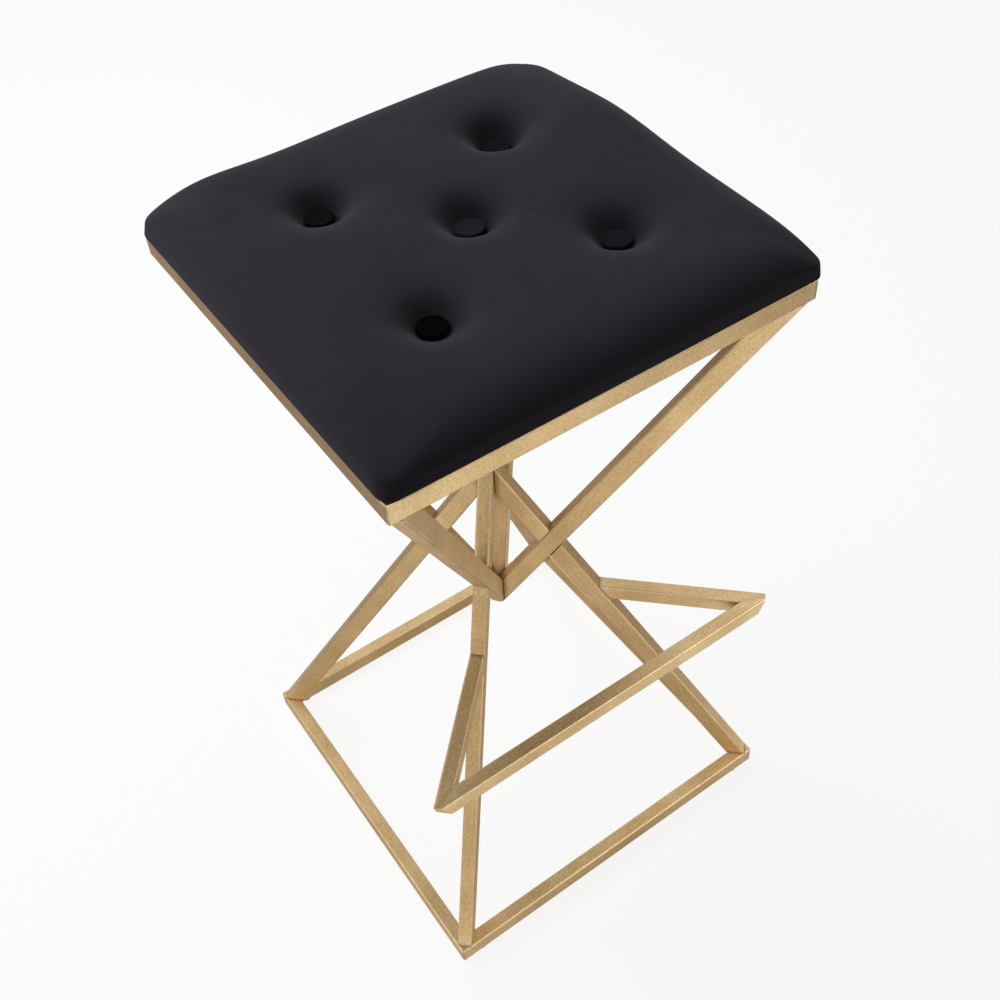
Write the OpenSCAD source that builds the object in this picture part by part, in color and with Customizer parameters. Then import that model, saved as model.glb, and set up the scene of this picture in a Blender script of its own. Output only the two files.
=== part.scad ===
// Square bar stool: welded tube frame of crossed struts, buttoned velvet seat.
// The origin is on the floor, on the stool's upright axis. The footrest faces -Y.

/* [Frame] */
// Outer side of the square seat rail, and width of the footrest's front
seat_w = 400; // [340:5:460]
// Outer side of the square floor frame
base_w = 414; // [350:2:480]
// Height of the seat rail's top face above the floor
rail_top = 714; // [640:2:780]
// Height of the frame's tube, in the plane of each square or strut
tube_h = 20; // [16:1:24]
// Width of the frame's tube
tube_w = 15; // [12:1:20]
// Corner radius of every tube
tube_r = 2; // [1:0.5:3]
// Wall of every tube
tube_wall = 1.5; // [1.2:0.1:2.5]
// Radius ground on the upright corners of the seat rail and the floor frame
corner_r = 3.5; // [1:0.5:4]

/* [Struts] */
// Height of the V tip, where the undersides of the four upper struts meet
v_tip_z = 257; // [215:2:285]
// Height of the apex, where the outer faces of the four lower struts meet
apex_z = 486; // [440:2:540]

/* [Footrest] */
// Height of the footrest's top face
foot_top = 309; // [280:1:330]
// Height of the footrest's tube
foot_tube_h = 18; // [14:1:22]
// How far each sharp mitred tip of the footrest is cut back
tip_trim = 10; // [6:1:14]
// How far the cut leans back under the footrest
tip_undercut = 6; // [1:1:8]

/* [Cushion] */
// Height of the cushion's crown above the seat rail
crown_h = 49; // [44:1:58]
// Height of the cushion above the seat rail, halfway along a side
edge_h = 48; // [42:1:52]
// How much the cushion falls towards its corners
corner_drop = 9; // [4:1:16]
// Height of the cushion's widest line above the seat rail
bulge_h = 17; // [16:1:22]
// How far the widest line stands out past the seat rail
side_bulge = 2; // [1:0.5:5]
// Width of the rolled edge
roll_w = 48; // [38:1:54]
// Corner radius of the widest line
cushion_corner_r = 11; // [8:1:20]
// Corner radius where the rolled edge meets the crown
crown_corner_r = 28; // [18:1:36]
// How far the cushion draws in from the widest line down to the seat rail
tuck_in = 2; // [1:0.5:5]
// Thickness of the velvet with its backing
cover_t = 1.5; // [1.2:0.1:2]
// Width of the hem turned under the seat board
hem_w = 19; // [17:1:24]

/* [Buttons] */
// Diameter of a covered button
button_d = 26; // [22:1:28]
// Height of a covered button
button_h = 5.5; // [4:0.5:8]
// Distance between two outer buttons along a side
button_pitch = 174; // [160:2:200]
// Height above the seat rail that a button is drawn down to
button_seat_h = 26; // [22:1:30]
// Diameter of the hollow that a button draws into the cushion
hollow_d = 124; // [100:2:140]
// Diameter of the tufting twine
twine_d = 2; // [1.5:0.5:3]
// Diameter of the washer that anchors the twine under the board
anchor_d = 18; // [14:1:24]

/* [Board and fixings] */
// Thickness of the plywood seat board
board_t = 12; // [9:1:14]
// Thickness of the dust cover
dust_t = 0.5; // [0.3:0.1:1]
// Length of a corner plate along the seat rail
plate_leg = 62; // [54:1:80]
// Thickness of a corner plate
plate_t = 3; // [2:0.5:4]
// Distance of each seat screw from the inner faces of the seat rail
screw_inset = 25; // [20:1:26]
// Thread diameter of a seat screw
screw_d = 6; // [5:1:8]
// Head diameter of a seat screw
head_d = 11; // [9:0.5:12]
// Head height of a seat screw
head_h = 3.3; // [2.5:0.1:4]
// Width across flats of the screw's hexagon socket
socket_w = 4; // [3:0.5:5]
// Depth of the screw's hexagon socket
socket_depth = 2; // [1:0.5:2.3]
// Diameter of a plain washer
washer_d = 12.5; // [12:0.5:14]
// Thickness of a plain washer
washer_t = 1.2; // [0.8:0.1:2]
// Flange diameter of a tee nut
tee_flange_d = 19; // [17:0.5:22]
// Flange thickness of a tee nut
tee_flange_t = 1.5; // [1:0.1:2]
// Wall of the tee nut's barrel
tee_wall = 1; // [0.8:0.1:1.5]
// Staples along each side of the dust cover
staples_per_side = 6; // [4:1:8]
// Length of a staple's crown
staple_w = 10; // [8:1:12]
// Thickness of the staple wire
staple_t = 0.7; // [0.5:0.1:1]
// Length of a staple's legs
staple_leg = 6; // [5:0.5:8]

/* [Floor glides] */
// Head diameter of a floor glide
glide_d = 13; // [10:1:15]
// Height of a floor glide's head below the floor frame
glide_t = 2; // [1.5:0.5:4]
// Diameter of a floor glide's stem
stem_d = 6; // [5:0.5:8]
// Length of a floor glide's stem
stem_len = 8; // [5:1:10]
// Distance of a floor glide from the end of its tube
glide_inset = 26; // [22:1:50]

/* [Hidden] */
$fn = 48;
// Overrun of every cut
over = 1;
// Clearance round screws, stems and twine, and between soft layers
gap = 0.3;
// Solid weld metal left behind each trimmed footrest tip
tip_fill = 2;
// Distance left between a screw or barrel end and the next face
end_gap = 1.5;
// Flat cloth left round a button, and distance from the hem's edge to the staples
button_margin = 1.5;
staple_margin = 2;

// Frame places
half_w = seat_w / 2;
half_base = base_w / 2;
base_bottom = glide_t;
base_top = base_bottom + tube_h;
rail_bottom = rail_top - tube_h;
rail_inner = half_w - tube_w;
reach = seat_w + base_w + rail_top;

// Turn about the axis for each corner and each side, anticlockwise from above
front_left_angle = -135;
front_right_angle = -45;
back_right_angle = 45;
back_left_angle = 135;
front_angle = 0;
right_angle = 90;
back_angle = 180;
left_angle = 270;

// Struts: outer faces run from the axis to the full width of a corner of their square
upper_u = half_w * sqrt(2) - tube_w / 2;
lower_u = half_base * sqrt(2) - tube_w / 2;
upper_angle = atan2(rail_bottom - v_tip_z, upper_u);
lower_angle = atan2(apex_z - base_top, lower_u);

// Footrest: the bar's and an arm's outer and inner edges meet at the two ends of the mitre
mitre_out = [half_w + tube_w / sqrt(2), -half_w];
mitre_in = [rail_inner - tube_w / sqrt(2), -rail_inner];
mitre_way = (mitre_out - mitre_in) / norm(mitre_out - mitre_in);
tip_u = (mitre_out[0] - mitre_out[1]) / sqrt(2) - tip_trim;
tip_angle = atan2(tip_undercut, foot_tube_h);

// Seat stack, from the dust cover up
dust_bottom = rail_top - dust_t;
plate_bottom = dust_bottom - plate_t;
board_bottom = rail_top + cover_t;
board_top = board_bottom + board_t;
anchor_t = cover_t - gap;
screw_place = rail_inner - screw_inset;
head_top = plate_bottom - washer_t;
screw_end = board_top - tee_flange_t - end_gap;
barrel_bottom = board_bottom + end_gap;
barrel_d = screw_d + 2 * gap + 2 * tee_wall;
staple_place = half_w + side_bulge - tuck_in - hem_w - staple_margin - staple_t;
staple_span_share = 0.78;

// Cushion form
widest = half_w + side_bulge;
top_half = widest - roll_w;
button_x = button_pitch / 2;
seat_flat = button_d / 2 + button_margin;
flat_r = seat_flat * sqrt(2);
button_seat = rail_top + button_seat_h;
button_places = [[0, 0], [-button_x, -button_x], [button_x, -button_x],
    [button_x, button_x], [-button_x, button_x]];
inner_shares = [0.3, 0.64];
outer_share = 0.5;
corner_power = 4;
hollow_power = 3;
roll_angles = [60, 30, 0];
top_rings = 7;
rings = top_rings + len(roll_angles);
grid_side = 2 * rings + 1;
grid_count = grid_side * grid_side;
ring_count = 8 * rings;

// Height of the cushion without its hollows, at a place on its top
function crown_z(x, y) =
    let (a = x / top_half, b = y / top_half)
    rail_top + crown_h - (crown_h - edge_h) * (a * a + b * b - a * a * b * b)
        - corner_drop * pow(abs(a * b), corner_power);

// Share by which the nearest button draws the top down: 1 at the button, 0 outside its hollow
function draw_share(x, y) = max([for (place = button_places)
    let (t = (norm([x, y] - place) - flat_r) / (hollow_d / 2 - flat_r))
    t <= 0 ? 1 : t >= 1 ? 0 : pow(1 - t, hollow_power)]);

function top_z(x, y, inset) =
    let (share = draw_share(x, y))
    crown_z(x, y) * (1 - share) + button_seat * share - inset;

// Distance of grid line n from the axis, on the surface that lies inset below the outer one
function line_at(n, inset) =
    let (low = button_x - seat_flat, high = button_x + seat_flat)
    n == 0 ? 0
    : n == 1 ? seat_flat
    : n < 4 ? seat_flat + (low - seat_flat) * inner_shares[n - 2]
    : n == 4 ? low
    : n == 5 ? high
    : n == 6 ? high + (top_half - high) * outer_share
    : n == top_rings ? top_half
    : top_half + (roll_w - inset) * cos(roll_angles[n - top_rings - 1]);

function signed_line(n, inset) = sign(n) * line_at(abs(n), inset);

function limit(value, most) = sign(value) * min(abs(value), most);

// Moves a place on a square of the given half side onto the same square with rounded corners
function rounded(place, half, radius) =
    let (inner = [for (value = place) limit(value, half - radius)], out = place - inner)
    inner + out / norm(out) * radius;

// Corner radius of a ring at an angle of the rolled edge
function ring_radius(angle, inset) =
    crown_corner_r + (cushion_corner_r - crown_corner_r) * cos(angle) - inset;

// Point of the cushion's grid: level top inside, rolled edge in the outer rings
function form_point(i, j, inset) =
    let (ring = max(abs(i), abs(j)), place = [signed_line(i, inset), signed_line(j, inset)])
    ring < top_rings ? [place[0], place[1], top_z(place[0], place[1], inset)]
    : let (angle = ring == top_rings ? 90 : roll_angles[ring - top_rings - 1],
        plan = rounded(place, line_at(ring, inset), ring_radius(angle, inset)),
        edge = [limit(place[0], top_half), limit(place[1], top_half)],
        widest_z = rail_top + bulge_h)
    [plan[0], plan[1], widest_z + (top_z(edge[0], edge[1], inset) - widest_z) * sin(angle)];

function form_grid(inset) = [for (i = [-rings : rings], j = [-rings : rings]) form_point(i, j, inset)];

// Grid steps of the m-th point round the outermost ring, anticlockwise from above
function ring_step(m) =
    let (side = floor(m / (2 * rings)), t = m - side * 2 * rings - rings)
    side == 0 ? [rings, t] : side == 1 ? [-t, rings] : side == 2 ? [-rings, -t] : [t, -rings];

// Level copy of the outermost ring, scaled to a half side
function level_ring(half, z, inset) = [for (m = [0 : ring_count - 1])
    let (step = ring_step(m), p = form_point(step[0], step[1], inset))
    [p[0] * half / (widest - inset), p[1] * half / (widest - inset), z]];

function grid_id(i, j) = (i + rings) * grid_side + j + rings;

function grid_ring(start) = [for (m = [0 : ring_count - 1])
    let (step = ring_step(m)) start + grid_id(step[0], step[1])];

function plain_ring(start) = [for (m = [0 : ring_count - 1]) start + m];

// Two triangles for each cell of the grid, split away from the centre, seen from above or below
function cell(a, b, c, d, split, above) =
    split ? (above ? [[a, d, c], [a, c, b]] : [[a, c, d], [a, b, c]])
    : (above ? [[a, d, b], [b, d, c]] : [[a, b, d], [b, c, d]]);

function grid_faces(start, above) = [for (i = [-rings : rings - 1], j = [-rings : rings - 1])
    each cell(start + grid_id(i, j), start + grid_id(i + 1, j), start + grid_id(i + 1, j + 1),
        start + grid_id(i, j + 1), (i >= 0) == (j >= 0), above)];

function strip_faces(high, low) = [for (m = [0 : ring_count - 1])
    let (n = (m + 1) % ring_count)
    each [[high[m], high[n], low[n]], [high[m], low[n], low[m]]]];

function fan_faces(ring, centre) = [for (m = [0 : ring_count - 1])
    [ring[m], ring[(m + 1) % ring_count], centre]];

// How far the side is drawn in at a height above the seat rail
function draw_in(h) = tuck_in * pow((bulge_h - h) / bulge_h, 2);

// Tube shapes
module tube_profile(width, height) {
    square([width - 2 * tube_r, height], center = true);
    square([width, height - 2 * tube_r], center = true);
    for (x = [-1, 1], y = [-1, 1])
        translate([x * (width / 2 - tube_r), y * (height / 2 - tube_r)]) circle(tube_r);
}

// Tube along +X from the origin: its width lies along Y and its height along Z
module tube_along(length, height) {
    rotate([90, 0, 90])
        difference() {
            linear_extrude(length) tube_profile(tube_w, height);
            translate([0, 0, -over])
                linear_extrude(length + 2 * over)
                    square([tube_w - 2 * tube_wall, height - 2 * tube_wall], center = true);
        }
}

// Upright column over everything within 45 degrees of +X, seen from the axis
module quarter() {
    linear_extrude(reach) polygon([[0, 0], [reach, -reach], [reach, reach]]);
}

// Everything on the upper side of a line that leaves the axis at height z and climbs outwards at an angle
module above_line(z, angle) {
    translate([0, 0, z])
        rotate([0, -angle, 0])
            translate([-reach, -reach, 0])
                cube(2 * reach);
}

// Upright column that grinds the corners of a square frame round
module ground_column(side) {
    linear_extrude(reach) {
        square([side - 2 * corner_r, side], center = true);
        square([side, side - 2 * corner_r], center = true);
        for (x = [-1, 1], y = [-1, 1])
            translate([x * (side / 2 - corner_r), y * (side / 2 - corner_r)]) circle(corner_r);
    }
}

// One tube of a mitred square frame, from its bottom up, turned from the front
module frame_side(side, bottom, turn) {
    rotate([0, 0, turn])
        intersection() {
            translate([-side / 2, -side / 2 + tube_w / 2, bottom + tube_h / 2]) tube_along(side, tube_h);
            rotate([0, 0, -90]) quarter();
            ground_column(side);
        }
}

module base_rail(turn, drilled) {
    color("darkgoldenrod")
        difference() {
            frame_side(base_w, base_bottom, turn);
            if (drilled) glide_places() cylinder(h = tube_wall + 2 * over, d = stem_d + gap);
        }
}

module seat_rail(turn) {
    color("goldenrod") frame_side(seat_w, rail_bottom, turn);
}

// Place of the cut at the bottom of each floor glide, on the front and back tubes
module glide_places() {
    for (x = [-1, 1], y = [-1, 1])
        translate([x * (half_base - glide_inset), y * (half_base - tube_w / 2), base_bottom - over])
            children();
}

// Struts, drawn along +X and turned to their corner
module upper_strut(turn) {
    color("burlywood")
        rotate([0, 0, turn])
            intersection() {
                translate([0, 0, v_tip_z])
                    rotate([0, -upper_angle, 0])
                        translate([-tube_h, 0, tube_h / 2])
                            tube_along(reach, tube_h);
                quarter();
                translate([0, -tube_w, 0]) cube([reach, 2 * tube_w, rail_bottom]);
            }
}

module lower_tube() {
    intersection() {
        translate([0, 0, apex_z])
            rotate([0, lower_angle, 0])
                translate([-tube_h, 0, -tube_h / 2])
                    tube_along(reach, tube_h);
        quarter();
        translate([0, -tube_w, base_top]) cube([reach, 2 * tube_w, reach]);
    }
}

module lower_strut(turn) {
    color("darkgoldenrod")
        rotate([0, 0, turn])
            difference() {
                lower_tube();
                above_line(v_tip_z, upper_angle);
            }
}

module apex_stub(turn) {
    color("peru")
        rotate([0, 0, turn])
            intersection() {
                lower_tube();
                above_line(v_tip_z + tube_h / cos(upper_angle), upper_angle);
            }
}

// Everything inside a footrest tip's cut, which stands back by more in its solid fill
module inside_tip(back_off) {
    rotate([0, 0, front_right_angle])
        translate([tip_u - back_off, 0, foot_top])
            rotate([0, tip_angle, 0])
                translate([-2 * reach, -reach, -reach])
                    cube(2 * reach);
}

module foot_profile_run(length, solid) {
    if (solid) rotate([90, 0, 90]) linear_extrude(length) tube_profile(tube_w, foot_tube_h);
    else rotate([90, 0, 90]) linear_extrude(length)
        square([tube_w - 2 * tube_wall, foot_tube_h - 2 * tube_wall], center = true);
}

// Everything on one side of the right mitre: 1 for the arm's side, -1 for the bar's
module mitre_half(side) {
    start = mitre_in - mitre_way * reach;
    end = mitre_out + mitre_way * reach;
    away = [-mitre_way[1], mitre_way[0]] * side * reach;
    linear_extrude(reach) polygon([start, end, end + away, start + away]);
}

module footrest_bar() {
    color("gold")
        difference() {
            intersection() {
                translate([-seat_w, -half_w + tube_w / 2, foot_top - foot_tube_h / 2])
                    foot_profile_run(2 * seat_w, true);
                mitre_half(-1);
                mirror([1, 0, 0]) mitre_half(-1);
                inside_tip(0);
                mirror([1, 0, 0]) inside_tip(0);
            }
            intersection() {
                translate([-seat_w, -half_w + tube_w / 2, foot_top - foot_tube_h / 2])
                    foot_profile_run(2 * seat_w, false);
                inside_tip(tip_fill);
                mirror([1, 0, 0]) inside_tip(tip_fill);
            }
        }
}

module right_arm() {
    difference() {
        intersection() {
            rotate([0, 0, front_right_angle])
                translate([0, 0, foot_top - foot_tube_h / 2])
                    foot_profile_run(2 * seat_w, true);
            mitre_half(1);
            inside_tip(0);
            rotate([0, 0, front_right_angle]) above_line(apex_z, -lower_angle);
        }
        intersection() {
            rotate([0, 0, front_right_angle])
                translate([0, 0, foot_top - foot_tube_h / 2])
                    foot_profile_run(2 * seat_w, false);
            inside_tip(tip_fill);
        }
    }
}

module footrest_arm(side) {
    color("orange")
        if (side < 0) mirror([1, 0, 0]) right_arm();
        else right_arm();
}

// Fixings under the seat
module corner_plate(turn) {
    color("tan")
        rotate([0, 0, turn - back_right_angle])
            difference() {
                translate([0, 0, plate_bottom])
                    linear_extrude(plate_t)
                        polygon([[rail_inner, rail_inner], [rail_inner - plate_leg, rail_inner],
                            [rail_inner, rail_inner - plate_leg]]);
                translate([screw_place, screw_place, plate_bottom - over])
                    cylinder(h = plate_t + 2 * over, d = screw_d + 2 * gap);
            }
}

module at_screws() {
    for (x = [-1, 1], y = [-1, 1])
        translate([x * screw_place, y * screw_place, 0]) children();
}

module seat_screws() {
    color("silver")
        at_screws()
            difference() {
                union() {
                    translate([0, 0, head_top - head_h]) cylinder(h = head_h, d = head_d);
                    translate([0, 0, head_top - head_h / 2])
                        cylinder(h = screw_end - head_top + head_h / 2, d = screw_d);
                }
                translate([0, 0, head_top - head_h - over])
                    cylinder(h = socket_depth + over, d = socket_w / cos(30), $fn = 6);
            }
}

module seat_washers() {
    color("lightgrey")
        at_screws()
            translate([0, 0, head_top])
                difference() {
                    cylinder(h = washer_t, d = washer_d);
                    translate([0, 0, -over]) cylinder(h = washer_t + 2 * over, d = screw_d + 2 * gap);
                }
}

module tee_nuts() {
    color("grey")
        at_screws()
            difference() {
                union() {
                    translate([0, 0, barrel_bottom]) cylinder(h = board_top - barrel_bottom, d = barrel_d);
                    translate([0, 0, board_top - tee_flange_t]) cylinder(h = tee_flange_t, d = tee_flange_d);
                }
                translate([0, 0, barrel_bottom - over])
                    cylinder(h = board_top - barrel_bottom + 2 * over, d = screw_d + 2 * gap);
            }
}

// Seat
module board_plan(half, radius) {
    square([2 * half - 2 * radius, 2 * half], center = true);
    square([2 * half, 2 * half - 2 * radius], center = true);
    for (x = [-1, 1], y = [-1, 1])
        translate([x * (half - radius), y * (half - radius)]) circle(radius);
}

module at_buttons() {
    for (place = button_places) translate([place[0], place[1], 0]) children();
}

module twine_hole(bottom, top) {
    translate([0, 0, bottom - over]) cylinder(h = top - bottom + 2 * over, d = twine_d + 2 * gap);
}

// Staples in a row along each side, each with its crown along the side
module at_staples() {
    span = 2 * staple_place * staple_span_share;
    for (turn = [front_angle, right_angle, back_angle, left_angle], n = [0 : staples_per_side - 1])
        rotate([0, 0, turn])
            translate([-span / 2 + span * n / (staples_per_side - 1), -staple_place, 0])
                children();
}

module staple_legs(extra) {
    for (x = [-1, 1])
        translate([x * (staple_w - staple_t) / 2 - staple_t / 2 - extra, -staple_t / 2 - extra,
            dust_bottom - extra])
            cube([staple_t + 2 * extra, staple_t + 2 * extra, staple_leg + 2 * extra]);
}

module seat_board() {
    half = widest - cover_t - gap - draw_in(cover_t);
    color("wheat")
        difference() {
            translate([0, 0, board_bottom])
                linear_extrude(board_t) board_plan(half, cushion_corner_r - cover_t);
            at_buttons() twine_hole(board_bottom, board_top);
            at_screws() {
                translate([0, 0, board_bottom - over]) cylinder(h = board_t + 2 * over, d = barrel_d + 2 * gap);
                translate([0, 0, board_top - tee_flange_t])
                    cylinder(h = tee_flange_t + over, d = tee_flange_d + 2 * gap);
            }
            at_staples() staple_legs(gap / 2);
        }
}

module foam_pad() {
    inset = cover_t + gap;
    grid = form_grid(inset);
    half = widest - inset - draw_in(board_top - rail_top);
    bottom = level_ring(half, board_top, inset);
    points = concat(grid, bottom, [[0, 0, board_top]]);
    faces = concat(
        grid_faces(0, true),
        strip_faces(grid_ring(0), plain_ring(grid_count)),
        fan_faces(plain_ring(grid_count), grid_count + ring_count));
    color("lemonchiffon")
        difference() {
            polyhedron(points, faces, convexity = 6);
            at_buttons() twine_hole(board_top, button_seat);
        }
}

module velvet_cover() {
    outer_half = widest - tuck_in;
    inner_half = widest - cover_t - draw_in(cover_t);
    hem_half = outer_half - hem_w;
    inner_start = grid_count + 4 * ring_count;
    points = concat(
        form_grid(0),
        level_ring(outer_half, rail_top, 0),
        level_ring(hem_half, rail_top, 0),
        level_ring(hem_half, board_bottom, 0),
        level_ring(inner_half, board_bottom, cover_t),
        form_grid(cover_t));
    faces = concat(
        grid_faces(0, true),
        strip_faces(grid_ring(0), plain_ring(grid_count)),
        strip_faces(plain_ring(grid_count), plain_ring(grid_count + ring_count)),
        strip_faces(plain_ring(grid_count + ring_count), plain_ring(grid_count + 2 * ring_count)),
        strip_faces(plain_ring(grid_count + 2 * ring_count), plain_ring(grid_count + 3 * ring_count)),
        strip_faces(plain_ring(grid_count + 3 * ring_count), grid_ring(inner_start)),
        grid_faces(inner_start, false));
    color("dimgray")
        difference() {
            polyhedron(points, faces, convexity = 8);
            at_buttons() twine_hole(button_seat - cover_t, button_seat);
        }
}

// Covered button: a low dome, bored for the twine
module tuft_button(place) {
    dome_r = (button_d * button_d / 4 + button_h * button_h) / button_h / 2;
    color("black")
        translate([place[0], place[1], button_seat])
            difference() {
                intersection() {
                    cylinder(h = button_h, d = button_d);
                    translate([0, 0, button_h - dome_r]) sphere(dome_r);
                }
                translate([0, 0, -over]) cylinder(h = button_h / 2 + over, d = twine_d + 2 * gap);
            }
}

module tufting_twine() {
    color("ivory")
        at_buttons()
            translate([0, 0, board_bottom - anchor_t])
                cylinder(h = button_seat + button_h / 2 - board_bottom + anchor_t, d = twine_d);
}

module twine_anchors() {
    color("lightgrey")
        at_buttons()
            translate([0, 0, board_bottom - anchor_t])
                difference() {
                    cylinder(h = anchor_t, d = anchor_d);
                    translate([0, 0, -over]) cylinder(h = anchor_t + 2 * over, d = twine_d + 2 * gap);
                }
}

module dust_cover() {
    half = rail_inner - gap;
    color("darkslategray")
        difference() {
            translate([-half, -half, dust_bottom]) cube([2 * half, 2 * half, dust_t]);
            at_screws()
                translate([0, 0, dust_bottom - over]) cylinder(h = dust_t + 2 * over, d = screw_d + 2 * gap);
            at_staples() staple_legs(gap / 2);
        }
}

module dust_cover_staples() {
    color("silver")
        at_staples() {
            translate([-staple_w / 2, -staple_t / 2, dust_bottom - staple_t])
                cube([staple_w, staple_t, staple_t]);
            staple_legs(0);
        }
}

module floor_glides() {
    color("dimgray")
        glide_places()
            translate([0, 0, over - glide_t]) {
                cylinder(h = glide_t, d = glide_d);
                cylinder(h = glide_t + stem_len, d = stem_d);
            }
}

base_rail(front_angle, true);  // base_rail_front
base_rail(right_angle, false);  // base_rail_right
base_rail(back_angle, true);  // base_rail_back
base_rail(left_angle, false);  // base_rail_left
lower_strut(front_left_angle);  // lower_strut_front_left
lower_strut(front_right_angle);  // lower_strut_front_right
lower_strut(back_right_angle);  // lower_strut_back_right
lower_strut(back_left_angle);  // lower_strut_back_left
apex_stub(front_left_angle);  // apex_stub_front_left
apex_stub(front_right_angle);  // apex_stub_front_right
apex_stub(back_right_angle);  // apex_stub_back_right
apex_stub(back_left_angle);  // apex_stub_back_left
upper_strut(front_left_angle);  // upper_strut_front_left
upper_strut(front_right_angle);  // upper_strut_front_right
upper_strut(back_right_angle);  // upper_strut_back_right
upper_strut(back_left_angle);  // upper_strut_back_left
seat_rail(front_angle);  // seat_rail_front
seat_rail(right_angle);  // seat_rail_right
seat_rail(back_angle);  // seat_rail_back
seat_rail(left_angle);  // seat_rail_left
footrest_bar();
footrest_arm(-1);  // footrest_arm_left
footrest_arm(1);  // footrest_arm_right
corner_plate(front_left_angle);  // corner_plate_front_left
corner_plate(front_right_angle);  // corner_plate_front_right
corner_plate(back_right_angle);  // corner_plate_back_right
corner_plate(back_left_angle);  // corner_plate_back_left
seat_screws();
seat_washers();
tee_nuts();
seat_board();
foam_pad();
velvet_cover();
tuft_button(button_places[0]);  // button_centre
tuft_button(button_places[1]);  // button_front_left
tuft_button(button_places[2]);  // button_front_right
tuft_button(button_places[3]);  // button_back_right
tuft_button(button_places[4]);  // button_back_left
tufting_twine();
twine_anchors();
dust_cover();
dust_cover_staples();
floor_glides();
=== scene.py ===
# %% [markdown]
# # A bar stool with a buttoned velvet seat
# The stool is a welded frame of brass-coloured rectangular tube: a square on the floor, a square
# under the seat, and eight struts that cross between them. On top sits a foam cushion in
# near-black velvet, drawn down by five covered buttons.
#
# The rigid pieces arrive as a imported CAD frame. This lesson gives them their metals, builds the
# cushion and its buttons as soft pieces, and lights the result like a product photograph.

# %% Load the frame
import math

import bpy
import numpy as np
from mathutils import Matrix, Vector


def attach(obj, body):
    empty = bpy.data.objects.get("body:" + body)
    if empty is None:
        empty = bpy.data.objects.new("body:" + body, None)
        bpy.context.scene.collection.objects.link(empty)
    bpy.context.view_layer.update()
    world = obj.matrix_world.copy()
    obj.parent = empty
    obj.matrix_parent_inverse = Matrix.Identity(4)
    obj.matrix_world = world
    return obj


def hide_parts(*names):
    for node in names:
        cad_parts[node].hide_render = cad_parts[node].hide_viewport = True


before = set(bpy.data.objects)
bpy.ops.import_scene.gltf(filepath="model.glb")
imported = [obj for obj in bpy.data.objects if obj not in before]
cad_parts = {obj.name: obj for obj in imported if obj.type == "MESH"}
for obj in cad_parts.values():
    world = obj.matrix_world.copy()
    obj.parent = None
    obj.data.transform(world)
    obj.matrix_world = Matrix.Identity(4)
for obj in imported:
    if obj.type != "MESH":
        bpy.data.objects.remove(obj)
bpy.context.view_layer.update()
MM = 0.001

# %% [markdown]
# ## Shader maths as plain expressions
# Node graphs get hard to read when every sum is a node written out by hand. A small class wraps
# an output socket and overloads the operators, so `0.3 + grain * 0.1` adds its own Math nodes.
# Every other node comes from one method, which sets the node's settings first and its inputs next.
# The floor, the world and every finish are written in this way.


# %% A value that varies
class Value:
    """A number that varies over a surface: an output socket whose sums become Math nodes."""

    def __init__(self, nodes, socket):
        self.nodes, self.socket = nodes, socket

    def math(self, operation, *others, clamp=False):
        return self.nodes.node("ShaderNodeMath", {"operation": operation, "use_clamp": clamp},
                               dict(enumerate((self, *others))))

    def __add__(self, other):
        return self.math("ADD", other)

    def __sub__(self, other):
        return self.math("SUBTRACT", other)

    def __mul__(self, other):
        return self.math("MULTIPLY", other)

    def __truediv__(self, other):
        return self.math("DIVIDE", other)

    def __rsub__(self, other):
        return self.nodes.node("ShaderNodeMath", {"operation": "SUBTRACT"}, {0: other, 1: self})

    __radd__, __rmul__ = __add__, __mul__

    def clamp(self):
        return self.math("ADD", 0.0, clamp=True)


# %% The node maker
class Nodes:
    """A node tree whose nodes are made by one method."""

    def __init__(self, tree):
        self.tree = tree

    def node(self, kind, settings=None, inputs=None, output=0):
        """A node of a kind: its settings are set first, then the values or links of its sockets."""
        made = self.tree.nodes.new(kind)
        for key, value in (settings or {}).items():
            setattr(made, key, value)
        for key, value in (inputs or {}).items():
            self.link(value, made.inputs[key])
        return Value(self, made.outputs[output]) if len(made.outputs) else None

    def link(self, value, socket):
        if isinstance(value, Value):
            self.tree.links.new(value.socket, socket)
        else:
            socket.default_value = value

    def place(self):
        """Object coordinates: metres in the stool's own frame."""
        return self.node("ShaderNodeTexCoord", output="Object")

    def ray(self, name):
        """1 for one kind of ray and 0 for the others."""
        return self.node("ShaderNodeLightPath", output=name)

    def part(self, vector, axis):
        """The X, Y or Z part of a vector."""
        return self.node("ShaderNodeSeparateXYZ", None, {"Vector": vector}, axis)

    def measure(self, operation, first, second):
        """A number from two vectors, such as the distance between them."""
        return self.node("ShaderNodeVectorMath", {"operation": operation},
                         {0: first, 1: second}, "Value")

    def mapping(self, vector, **inputs):
        """A vector scaled, turned, then moved. A noise read from a stretched one is a grain."""
        return self.node("ShaderNodeMapping", {"vector_type": "POINT"},
                         {"Vector": vector, **inputs})

    def noise(self, scale, detail=2.0, roughness=0.5, vector=None):
        return self.node("ShaderNodeTexNoise", None,
                         {"Vector": vector or self.place(), "Scale": scale, "Detail": detail,
                          "Roughness": roughness})

    def ease(self, value, start, end, low=0.0, high=1.0):
        """Low to high as the value goes from start to end, and level past both."""
        return self.node("ShaderNodeMapRange", None,
                         {"Value": value, "From Min": start, "From Max": end,
                          "To Min": low, "To Max": high})

    def mix(self, factor, first, second):
        """The colour a factor of the way from the first to the second."""
        return self.node("ShaderNodeMix", {"data_type": "RGBA"},
                         {0: factor, 6: first, 7: second}, 2)

    def bump(self, height, strength, distance):
        return self.node("ShaderNodeBump", None,
                         {"Height": height, "Strength": strength, "Distance": distance})


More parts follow.
